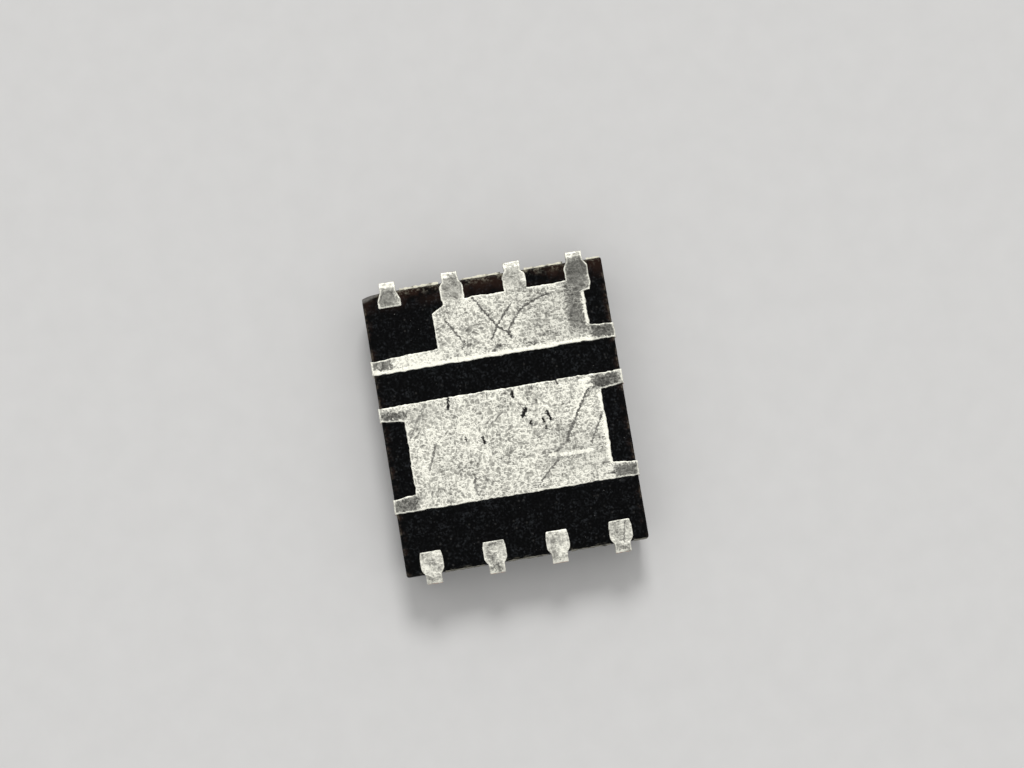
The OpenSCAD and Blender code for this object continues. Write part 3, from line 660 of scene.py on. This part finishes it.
def lead_tree():
    """A row of punched feet: barrel-shaped outline, rolled tip and rounded edges, on one etched web."""
    take = geometry_tree("lead_row", (
        "Pitch", "First X", "Row", "Edge", "Out", "Reach", "Foot Width", "Heel Width", "Tip Width", "Heel Length",
        "Shoulder", "Bulge", "Bottom", "Top", "Bevel Run", "Bevel Drop", "Edge Radius", "Ragged", "Web Reach",
        "Web Margin", "Web Thickness", "Web Overlap"), ("Count",))
    radius = take["Edge Radius"]
    cells, in_edge = (24, 40, 14), 3
    shares = [2 * in_edge / count for count in cells]
    u, v, w = radius.node("GeometryNodeInputPosition").split()
    spare = take["Ragged"]
    length = take["Reach"] + take["Out"] - spare * 2
    height = take["Top"] - take["Bottom"] - spare * 2
    flat_y, turn_y = rounded(v, length / 2 - radius, shares[1])
    along = flat_y + turn_y * radius + length / 2
    narrow = ((along - (take["Reach"] - take["Shoulder"])) / take["Shoulder"]).most(0.0).least(1.0)
    flare = 1 - (along / take["Heel Length"]).least(1.0)
    half = take["Foot Width"] / 2 - spare
    half = half - (take["Foot Width"] - take["Tip Width"]) / 2 * narrow ** take["Bulge"]
    half = half - (take["Foot Width"] - take["Heel Width"]) / 2 * flare
    flat_x, turn_x = rounded(u, half - radius, shares[0])
    flat_z, turn_z = rounded(w, height / 2 - radius, shares[2])
    flat = flat_x.joined(flat_y, flat_z)
    x, y, z = (flat + turn_x.joined(turn_y, turn_z).apply("NORMALIZE") * radius).split()
    rolled = ((along - (length - take["Bevel Run"])) / take["Bevel Run"]).most(0.0) * take["Bevel Drop"]
    level = z / height + 0.5
    z = take["Bottom"] + spare + level * (height - rolled)
    y = y + length / 2 + take["Edge"] - take["Reach"] + spare
    place = (x * take["Row"]).joined(y * take["Row"], z)
    away = (half - abs(flat_x + turn_x * radius)).least(length - along).least(along).most(0.0)
    # The rim value drives a painted highlight along the edges, in the tin's material
    lead = unit_block(radius, cells).marked("rim", (away / -RIM_HIGHLIGHT_WIDTH).apply("EXPONENT")).moved(Position=place)
    line = lead.node("GeometryNodeMeshLine", (), {
        "Count": take["Count"], "Start Location": take["First X"].joined(0.0, 0.0),
        "Offset": take["Pitch"].joined(0.0, 0.0)})
    row = lead.node("GeometryNodeInstanceOnPoints", (), {"Points": line, "Instance": lead})
    row = row.node("GeometryNodeRealizeInstances", (), {0: row})
    row = row.moved(Offset=row.node("GeometryNodeInputPosition").wander(FINE_WANDER) * (spare * 2))
    # The web behind the feet, which the moulding hides
    web_length = take["Web Reach"] + take["Web Overlap"]
    span = take["Pitch"] * (take["Count"] - 1)
    web_size = (span + take["Foot Width"] + take["Web Margin"] * 2).joined(web_length, take["Web Thickness"])
    heel = take["Edge"] - take["Reach"]
    web_y = (heel + take["Web Overlap"] - web_length / 2) * take["Row"]
    web_place = (take["First X"] + span / 2).joined(web_y, take["Bottom"] + take["Web Thickness"] / 2)
    web = row.node("GeometryNodeMeshCube", (), {"Size": web_size})
    web = web.node("GeometryNodeTransform", (), {"Geometry": web, "Translation": web_place})
    both = row.node("GeometryNodeMeshBoolean", {"operation": "UNION", "solver": "MANIFOLD"}, {"Mesh 2": row})
    row.tree.links.new(web.socket, both.socket.node.inputs["Mesh 2"])
    return end_tree(both, take["Material"])


def flash_tree():
    """Ragged resin flash that follows a path."""
    take = geometry_tree("resin_flash", ("Radius", "Step", "Wander"))
    path = take["Geometry"].node("GeometryNodeMeshToCurve", (), {0: take["Geometry"]})
    path = path.node("GeometryNodeResampleCurve", {"mode": "LENGTH"}, {"Curve": path, "Length": take["Step"]})
    here = path.node("GeometryNodeInputPosition")
    path = path.moved(Offset=here.wander(0.09) * take["Wander"])
    swell = (here.noise(0.11, 3.0, 0.6) - 0.2).most(0.1) * 3.0
    path = path.node("GeometryNodeSetCurveRadius", (), {"Curve": path, "Radius": swell * take["Radius"]})
    ring = path.node("GeometryNodeCurvePrimitiveCircle", {"mode": "RADIUS"}, {"Resolution": 6, "Radius": 1.0})
    radius = path.node("GeometryNodeInputRadius")
    bead = path.node("GeometryNodeCurveToMesh", (), {
        "Curve": path, "Profile Curve": ring, "Scale": radius, "Fill Caps": True})
    return end_tree(bead, take["Material"])


def speck_tree():
    """Bare filler grains scattered over the outside of the moulding."""
    take = geometry_tree("filler_specks", ("Density", "Size", "Half Width", "Half Length", "Level"), ("Seed",))
    body, band = take["Geometry"], 0.02
    x, y, z = body.node("GeometryNodeInputPosition").split()
    # Only faces in a thin band below the outside get specks, so none lie in the rooms inside
    top = (z - take["Level"] + band).most(0.0) * body.node("GeometryNodeInputNormal").split()[2]
    side = (abs(x) - take["Half Width"] + band).most(0.0) + (abs(y) - take["Half Length"] + band).most(0.0)
    where = (top + side * 0.6).apply("GREATER_THAN", 0.002)
    points = body.node("GeometryNodeDistributePointsOnFaces", {"distribute_method": "RANDOM"}, {
        "Mesh": body, "Selection": where, "Density": take["Density"], "Seed": take["Seed"]})
    turn = Flow(points.tree, points.socket.node.outputs["Rotation"])
    grain = body.node("GeometryNodeMeshIcoSphere", (), {"Radius": 1.0, "Subdivisions": 1})
    chance = body.node("FunctionNodeRandomValue", {"data_type": "FLOAT_VECTOR"}, {
        0: (0.3, 0.3, 0.2), 1: (1.0, 1.0, 0.5), "Seed": take["Seed"]})
    specks = points.node("GeometryNodeInstanceOnPoints", (), {
        "Points": points, "Instance": grain, "Rotation": turn, "Scale": chance * take["Size"]})
    return end_tree(specks, take["Material"])


def in_millimetres(mesh):
    """A mesh in metres as a bmesh in millimetres."""
    shape = bmesh.new()
    shape.from_mesh(mesh)
    shape.transform(Matrix.Scale(1 / MM, 4))
    return shape


def merged_copy(node):
    """A copy of a CAD node's mesh in millimetres, with its loose triangles joined."""
    shape = in_millimetres(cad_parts[node].data)
    bmesh.ops.remove_doubles(shape, verts=shape.verts, dist=WELD)
    return shape


def cut_level(shape, level, slack, **side):
    """Cuts a bmesh at a level and clears the inner side, below it, or the outer side."""
    parts = shape.verts[:] + shape.edges[:] + shape.faces[:]
    bmesh.ops.bisect_plane(shape, geom=parts, dist=slack, plane_co=(0, 0, level), plane_no=(0, 0, 1), **side)


def to_mesh(shape, name):
    """Turns a bmesh into a mesh and frees it."""
    mesh = bpy.data.meshes.new(name)
    shape.to_mesh(mesh)
    shape.free()
    return mesh


def combine(operation, *meshes):
    """Joins closed meshes, cuts the later ones out of the first, or keeps the space that all share."""
    objects = [bpy.data.objects.new("work", mesh) for mesh in meshes]
    for obj in objects:
        bpy.context.collection.objects.link(obj)
    for obj in objects[1:]:
        modifier = objects[0].modifiers.new("combine", "BOOLEAN")
        modifier.operation, modifier.solver, modifier.object = operation, "MANIFOLD", obj
    made = plain_mesh(objects[0])
    for obj in objects:
        bpy.data.objects.remove(obj)
    return made


def upper_part(piece, level):
    """What of a finished piece lies above a level, as a closed mesh in millimetres."""
    shape = in_millimetres(bpy.data.objects[piece].data)
    cut_level(shape, level, WELD / 100, clear_inner=True)
    bmesh.ops.holes_fill(shape, edges=[edge for edge in shape.edges if edge.is_boundary])
    return to_mesh(shape, "cutter")


def finish_piece(name, mesh, material, slot, *nodes):
    """Puts a mesh made in millimetres into the scene as a closed piece, in metres and at the origin."""
    shape = bmesh.new()
    shape.from_mesh(mesh)
    bmesh.ops.remove_doubles(shape, verts=shape.verts, dist=WELD)
    bmesh.ops.triangulate(shape, faces=shape.faces)
    # Where two faces meet in a bent edge, each can leave a triangle over the same three corners
    bent = {face for edge in shape.edges if not edge.is_manifold for face in edge.link_faces}
    flaps = [face for face in bent if any(set(face.verts) == set(other.verts) for other in bent - {face})]
    bmesh.ops.delete(shape, geom=flaps, context="FACES")
    gaps = sum(not edge.is_manifold for edge in shape.edges)
    if gaps:
        raise RuntimeError(f"{name} is not closed: {gaps} edges")
    shape.transform(Matrix.Scale(MM, 4))
    mesh = to_mesh(shape, name)
    mesh.materials.clear()
    mesh.materials.append(material)
    mesh.shade_smooth()
    mesh.set_sharp_from_angle(angle=SHARP_ANGLE)
    piece = bpy.data.objects.new(name, mesh)
    bpy.context.collection.objects.link(piece)
    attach(piece, "root")
    if nodes:
        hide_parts(*nodes)


def cut_loop(shape, step):
    """Cuts a sheet off at CUT_Z and gives the vertices round the cut, anticlockwise and about a step apart."""
    cut_level(shape, CUT_Z, WELD, clear_outer=True)
    edge = next(edge for edge in shape.edges if edge.is_boundary)
    loop, vert = [edge.verts[0]], edge.verts[1]
    while vert is not loop[0]:
        loop.append(vert)
        edge = next(other for other in vert.link_edges if other.is_boundary and other is not edge)
        vert = edge.other_vert(vert)
    area = sum(a.co.x * b.co.y - b.co.x * a.co.y for a, b in zip(loop, loop[1:] + loop[:1]))
    if area < 0:
        loop.reverse()
    full = []
    for start, end in zip(loop, loop[1:] + loop[:1]):
        full.append(start)
        count = math.ceil((end.co - start.co).length / step)
        vert = start
        for left in range(count, 1, -1):
            _, vert = bmesh.utils.edge_split(shape.edges.get((vert, end)), vert, 1 / left)
            full.append(vert)
    return full


def outline_distance(points, loop):
    """How far each point lies inside a closed outline, below 0 outside it."""
    best = np.full(len(points), np.inf)
    inside = np.zeros(len(points), bool)
    for (ax, ay), (bx, by) in zip(loop, np.roll(loop, -1, axis=0)):
        dx, dy = bx - ax, by - ay
        px, py = points[:, 0] - ax, points[:, 1] - ay
        along = np.clip((px * dx + py * dy) / (dx * dx + dy * dy), 0, 1)
        best = np.minimum(best, (px - along * dx) ** 2 + (py - along * dy) ** 2)
        if ay != by:
            crosses = (ay > points[:, 1]) != (by > points[:, 1])
            inside ^= crosses & (px < dx * py / dy)
    return np.where(inside, 1, -1) * np.sqrt(best)


def line_distance(points, line):
    """How far each point is from a line through these points."""
    best = np.full(len(points), np.inf)
    for start, end in zip(np.array(line), np.array(line)[1:]):
        run = end - start
        away = points - start
        along = np.clip(away @ run / (run @ run), 0, 1)
        best = np.minimum(best, np.linalg.norm(away - along[:, None] * run, axis=1))
    return best


def ripple(x, y, size, layer):
    """Noise of 0 to 1 at this place, of about this size."""
    return 0.5 + 0.5 * noise.noise(Vector((x / size, y / size, layer)))


def plating_relief(points, tin):
    """How far the plated face lies below the solder level at each point: grains, waves, scratches and gouges."""
    grain, depth = tin.grain_size / MM, tin.grain_depth / MM
    relief = np.array([
        depth * ripple(x, y, grain, 3.0) + WAVE_DEPTH * depth * ripple(x, y, WAVE_SIZE, 8.0) for x, y in points])
    for line, width, strength in SCRATCHES + GOUGES:
        relief += tin.scratch_depth / MM * strength * np.exp(-(line_distance(points, line) / width) ** 2)
    return relief


def pad_mesh(node, tin, leads, seed):
    """A pad with its tie bars and leads: the CAD node below CUT_Z, and above it a ragged, worn plated face."""
    step, radius, ragged = tin.mesh_step / MM, tin.edge_radius / MM, tin.ragged / MM
    shape = merged_copy(node)
    # The rim value drives a painted highlight along the edges, in the tin's material
    rim = shape.verts.layers.float.new("rim")
    loop = cut_loop(shape, step)
    flat = np.array([vert.co.xy for vert in loop])
    before, after = flat - np.roll(flat, 1, axis=0), np.roll(flat, -1, axis=0) - flat
    tangent = before / np.linalg.norm(before, axis=1)[:, None] + after / np.linalg.norm(after, axis=1)[:, None]
    tangent /= np.linalg.norm(tangent, axis=1)[:, None]
    inward = np.stack([-tangent[:, 1], tangent[:, 0]], axis=1)
    # The etched edge wanders with a smooth warp, so that the outline can't fold over itself
    wander = np.array([
        [noise.noise(Vector((x, y, layer)) / FINE_WANDER) + noise.noise(Vector((x, y, -layer)) / WIDE_WANDER)
         for layer in (seed + 1.3, seed + 5.7)] for x, y in flat])
    edge = flat + inward * EDGE_INSET + ragged * wander
    reach = np.array((SHEET_HIGH.x, TIP_Y))
    edge = np.clip(edge, -reach, reach)
    # Points inside: rows that follow the edge where it is rounded, and a scattered grid over the rest
    chance = np.random.default_rng(seed)
    rows = []
    for share in EDGE_ROWS:
        row = edge + inward * radius * share
        away = outline_distance(row, edge)
        rows.append(row[away > 0.9 * radius * share])
    low, high = edge.min(axis=0), edge.max(axis=0)
    grid = np.stack(np.meshgrid(*[np.arange(a, b, step) for a, b in zip(low, high)]), axis=-1).reshape(-1, 2)
    grid = grid + chance.uniform(-0.3, 0.3, grid.shape) * step
    rows.append(grid[outline_distance(grid, edge) > EDGE_ROWS[-1] * radius + 0.6 * step])
    points = np.concatenate([edge] + rows)
    count = len(edge)
    ring = [(k, (k + 1) % count) for k in range(count)]
    flat_verts, _, faces, origin, _, _ = geometry.delaunay_2d_cdt(
        [Vector(point) for point in points], ring, [], 1, SAME_POINT)
    points = np.array([tuple(vert) for vert in flat_verts])
    away = np.clip(outline_distance(points, edge), 0.0, None)
    for k, source in enumerate(origin):
        if source and min(source) < count:
            away[k] = 0.0
    inset = np.clip(radius - away, 0.0, None)
    height = SOLDER_Z - radius + np.sqrt(radius ** 2 - inset ** 2)
    rolled = np.abs(points[:, 1]) - (TIP_Y - leads.bevel_run / MM)
    height -= np.clip(rolled, 0.0, None) * leads.bevel_drop / leads.bevel_run
    height -= plating_relief(points, tin) * np.clip(away / radius, 0.15, 1.0)
    top, ring = [], {}
    for k, (x, y) in enumerate(points):
        vert = shape.verts.new((x, y, height[k]))
        vert[rim] = math.exp(-away[k] / RIM_HIGHLIGHT_WIDTH)
        top.append(vert)
        ring.update({source: vert for source in origin[k] if source < count})
    for face in faces:
        shape.faces.new([top[k] for k in face])
    for k, vert in enumerate(loop):
        after = (k + 1) % count
        vert[rim] = 1.0
        shape.faces.new((vert, loop[after], ring[after], ring[k]))
    bmesh.ops.recalc_face_normals(shape, faces=shape.faces)
    return to_mesh(shape, node)


def inputs_of(settings, *names):
    """These lengths among the settings as inputs of a tree, in millimetres."""
    return {name.replace("_", " ").title(): getattr(settings, name) / MM for name in names}


class PieceOperator(bpy.types.Operator):
    """What the operators share: a material is made once, for all the pieces that use it."""
    bl_options = {"REGISTER"}

    def material(self, name, make, *values):
        return bpy.data.materials.get(name) or make(*values)


class TRANSISTOR_OT_epoxy_body(PieceOperator):
    """Build the black moulding round the pieces that it holds."""
    bl_idname = "transistor.epoxy_body"
    bl_label = "Epoxy body"

    def execute(self, context):
        epoxy = context.scene.transistor_epoxy
        material = self.material("black_epoxy", epoxy_material, epoxy)
        hull = run_tree(hull_tree(), inputs_of(epoxy, "edge_radius", "grain_depth", "chip_depth") | {
            "Width": 2 * HALF_X, "Length": 2 * EDGE_Y, "Height": MOULD_Z, "Frame Level": FRAME_Z,
            "Draft": epoxy.draft, "Break X": BROKEN[0], "Break Y": BROKEN[1], "Break Depth": BROKEN[2],
            "Seed": float(epoxy.seed), "Material": material})
        # Below the slab the CAD gives the rooms inside, and above it the dressed sheet makes its own
        slab = bmesh.new()
        bmesh.ops.create_cube(slab, size=1.0)
        slab.transform(Matrix.Translation((0, 0, SLAB_Z + 0.5)) @ Matrix.Diagonal((SLAB_WIDTH, SLAB_WIDTH, 1, 1)))
        rooms = combine("UNION", to_mesh(merged_copy("mould_body"), "rooms"), to_mesh(slab, "slab"))
        body = combine("INTERSECT", hull, rooms)
        cutters = [upper_part(piece, SLAB_Z - CUTTER_OVERLAP) for piece in SHEET_PIECES]
        body = combine("DIFFERENCE", body, *cutters)
        finish_piece("epoxy_body", body, material, "mould_compound", "mould_body")
        return {"FINISHED"}


class TRANSISTOR_OT_pads(PieceOperator):
    """Build the two plated pads with their cut tie bars and their leads."""
    bl_idname = "transistor.pads"
    bl_label = "Plated pads"

    def execute(self, context):
        tin, leads = context.scene.transistor_tin, context.scene.transistor_leads
        material = self.material("matte_tin", tin_material, tin)
        for seed, (name, node) in enumerate((("drain_pad_plate", "high_side_drain_pad"),
                                             ("switch_pad_plate", "switch_node_pad"))):
            finish_piece(name, pad_mesh(node, tin, leads, seed), material, "tin_plate", node)
        return {"FINISHED"}


class TRANSISTOR_OT_leads(PieceOperator):
    """Build the leads that stand apart from the pads, row by row."""
    bl_idname = "transistor.leads"
    bl_label = "Lead feet"

    def execute(self, context):
        tin, leads = context.scene.transistor_tin, context.scene.transistor_leads
        material = self.material("matte_tin", tin_material, tin)
        tree = lead_tree()
        common = inputs_of(
            leads, "foot_width", "heel_width", "tip_width", "heel_length", "shoulder", "reach", "bevel_run",
            "bevel_drop", "web_reach", "web_margin", "web_thickness") | inputs_of(tin, "edge_radius") | {
            "Pitch": LEAD_PITCH, "Edge": EDGE_Y, "Out": LEAD_OUT, "Bottom": FRAME_Z, "Top": SOLDER_Z,
            "Ragged": FOOT_RAGGED, "Web Overlap": leads.heel_length / 2 / MM, "Material": material}
        low_row = {"Row": -1.0, "Bulge": 2.0}
        gate = {"Row": 1.0, "Reach": leads.gate_reach / MM, "Shoulder": leads.gate_shoulder / MM,
                "Bulge": 1.0, "Heel Width": leads.foot_width / MM}
        for name, node, first, count, own in (
                ("high_gate_foot", "high_side_gate_lead", LEAD_X[0], 1, gate),
                ("low_gate_foot", "low_side_gate_lead", LEAD_X[0], 1, low_row),
                ("source_feet", "low_side_source_leads", LEAD_X[1], 3, low_row)):
            mesh = run_tree(tree, common | own | {"First X": first, "Count": count})
            finish_piece(name, mesh, material, "tin_plate", node)
        return {"FINISHED"}


class TRANSISTOR_OT_resin_flash(PieceOperator):
    """Lay the thin resin flash along the rim, between the leads."""
    bl_idname = "transistor.resin_flash"
    bl_label = "Resin flash"

    def execute(self, context):
        epoxy = context.scene.transistor_epoxy
        tree = flash_tree()
        # Both ends of each gap between two leads, from the gate lead on, and of the gap at the right side
        ends = [x + side * FLASH_LEAD_GAP for x in LEAD_X for side in (-1, 1)][1:] + [HALF_X - FLASH_SIDE_GAP]
        # The lower flash gets a fifth of the upper flash's colour: painted shade on the side that faces away from the
        # key light
        for name, edge, share, size in (("upper_flash", EDGE_Y, 1.0, 1.0), ("lower_flash", -EDGE_Y, 0.2, 0.6)):
            material = self.material(name, flash_material, epoxy, name, share)
            points = [(x, edge, MOULD_Z - FLASH_DROP) for x in ends]
            path = bpy.data.meshes.new("flash_path")
            path.from_pydata(points, [(k, k + 1) for k in range(0, len(points), 2)], [])
            mesh = run_tree(tree, {"Radius": size * epoxy.flash_radius / MM, "Step": FLASH_STEP,
                                   "Wander": FLASH_WANDER, "Material": material}, path)
            finish_piece(name, mesh, material, "mould_compound")
        return {"FINISHED"}


class TRANSISTOR_OT_filler_specks(PieceOperator):
    """Scatter bare filler grains over the outside of the moulding."""
    bl_idname = "transistor.filler_specks"
    bl_label = "Filler specks"

    def execute(self, context):
        epoxy = context.scene.transistor_epoxy
        material = self.material("bare_filler", filler_material, epoxy)
        body = bpy.data.objects["epoxy_body"].data.copy()
        body.transform(Matrix.Scale(1 / MM, 4))
        mesh = run_tree(speck_tree(), {
            "Density": epoxy.speck_density, "Size": epoxy.speck_size / MM, "Half Width": HALF_X,
            "Half Length": EDGE_Y, "Level": MOULD_Z, "Seed": epoxy.seed, "Material": material}, body)
        finish_piece("filler_specks", mesh, material, "mould_compound")
        return {"FINISHED"}


class TRANSISTOR_OT_inner_stack(PieceOperator):
    """Give the dies, clips, joints and wires inside the moulding their finishes."""
    bl_idname = "transistor.inner_stack"
    bl_label = "Inner stack"

    def execute(self, context):
        inside = context.scene.transistor_inside
        # Each finish by its name, colour, grain size, roughness and streak
        finishes = {kind: self.material(look[0], metal_material, *look) for kind, look in {
            "clip": ("rolled_copper", inside.copper, 0.03, 0.35, 6.0),
            "die": ("silicon", inside.silicon, 0.02, 0.3, 1.0),
            "solder": ("soft_solder", inside.solder, 0.05, 0.5, 1.0),
            "wire": ("gold_wire", inside.gold, 0.02, 0.25, 4.0)}.items()}
        for side in ("high_side", "low_side"):
            for part, finish in (("clip", "clip"), ("die", "die"), ("die_solder", "solder"),
                                 ("source_solder", "solder"), ("foot_solder", "solder"), ("gate_wire", "wire")):
                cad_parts[f"{side}_{part}"].material_slots[0].material = finishes[finish]
        return {"FINISHED"}


class TRANSISTOR_OT_studio(PieceOperator):
    """Set the pale floor, the soft light and the camera."""
    bl_idname = "transistor.studio"
    bl_label = "Studio"

    def execute(self, context):
        scene, studio = context.scene, context.scene.transistor_studio
        half = studio.floor_size / 2
        mesh = bpy.data.meshes.new("floor")
        corners = [(-half, -half, 0), (half, -half, 0), (half, half, 0), (-half, half, 0)]
        mesh.from_pydata(corners, [], [(0, 1, 2, 3)])
        material, place, shader = new_material("pale_floor")
        tone = place.noise(0.6, 4.0).step(0.0, 1.0)
        colour = tone.mix(scaled(studio.floor_colour, 0.95), tuple(studio.floor_colour))
        feed(shader, Base_Color=colour, Roughness=0.8)
        mesh.materials.append(material)
        floor = bpy.data.objects.new("floor", mesh)
        context.collection.objects.link(floor)

        world = bpy.data.worlds.new("room")
        world.use_nodes = True
        scene.world = world
        tree = world.node_tree
        up = Flow(tree, tree.nodes.new("ShaderNodeTexCoord").outputs["Generated"]).split()[2]
        light = tree.nodes["Background"]
        share = up.step(0.72, 0.98)
        levels = [(value, value, value, 1.0) for value in (studio.horizon, studio.zenith)]
        tree.links.new(share.mix(*levels).socket, light.inputs["Color"])

        lamp = bpy.data.lights.new("key", "SUN")
        lamp.energy, lamp.angle = studio.key_strength, studio.key_softness
        key = bpy.data.objects.new("key", lamp)
        key.rotation_euler = (studio.key_height - math.pi / 2, 0.0, -studio.view_turn)
        context.collection.objects.link(key)

        lens = bpy.data.cameras.new("camera")
        lens.lens, lens.sensor_width = studio.lens, 36.0
        lens.clip_start, lens.clip_end = 0.001, 10.0
        camera = bpy.data.objects.new("camera", lens)
        camera.location = studio.camera_place
        camera.rotation_euler = (studio.view_tilt, 0.0, -studio.view_turn)
        context.collection.objects.link(camera)
        scene.camera = camera
        scene.view_settings.view_transform = "Standard"
        return {"FINISHED"}


class TRANSISTOR_PT_panel(bpy.types.Panel):
    """The pieces of the transistor, in the order in which they are made."""
    bl_idname = "TRANSISTOR_PT_panel"
    bl_label = "Transistor"
    bl_space_type = "VIEW_3D"
    bl_region_type = "UI"
    bl_category = "Transistor"

    def draw(self, context):
        for operator in OPERATORS:
            self.layout.operator(operator.bl_idname)
        for name in SETTINGS:
            group = getattr(context.scene, name)
            box = self.layout.box()
            for prop in group.bl_rna.properties:
                if prop.identifier not in ("rna_type", "name"):
                    box.prop(group, prop.identifier)


SETTINGS = {
    "transistor_epoxy": EpoxySettings, "transistor_tin": TinSettings, "transistor_leads": LeadSettings,
    "transistor_inside": InsideSettings, "transistor_studio": StudioSettings,
}
OPERATORS = (
    TRANSISTOR_OT_studio, TRANSISTOR_OT_pads, TRANSISTOR_OT_leads, TRANSISTOR_OT_epoxy_body,
    TRANSISTOR_OT_resin_flash, TRANSISTOR_OT_filler_specks, TRANSISTOR_OT_inner_stack,
)


def register():
    for group in SETTINGS.values():
        bpy.utils.register_class(group)
    for name, group in SETTINGS.items():
        setattr(bpy.types.Scene, name, PointerProperty(type=group))
    for operator in OPERATORS:
        bpy.utils.register_class(operator)
    bpy.utils.register_class(TRANSISTOR_PT_panel)


def unregister():
    bpy.utils.unregister_class(TRANSISTOR_PT_panel)
    for operator in reversed(OPERATORS):
        bpy.utils.unregister_class(operator)
    for name in SETTINGS:
        delattr(bpy.types.Scene, name)
    for group in reversed(SETTINGS.values()):
        bpy.utils.unregister_class(group)


def main():
    register()
    for operator in OPERATORS:
        family, name = operator.bl_idname.split(".")
        getattr(getattr(bpy.ops, family), name)()


if __name__ == "__main__":
    main()
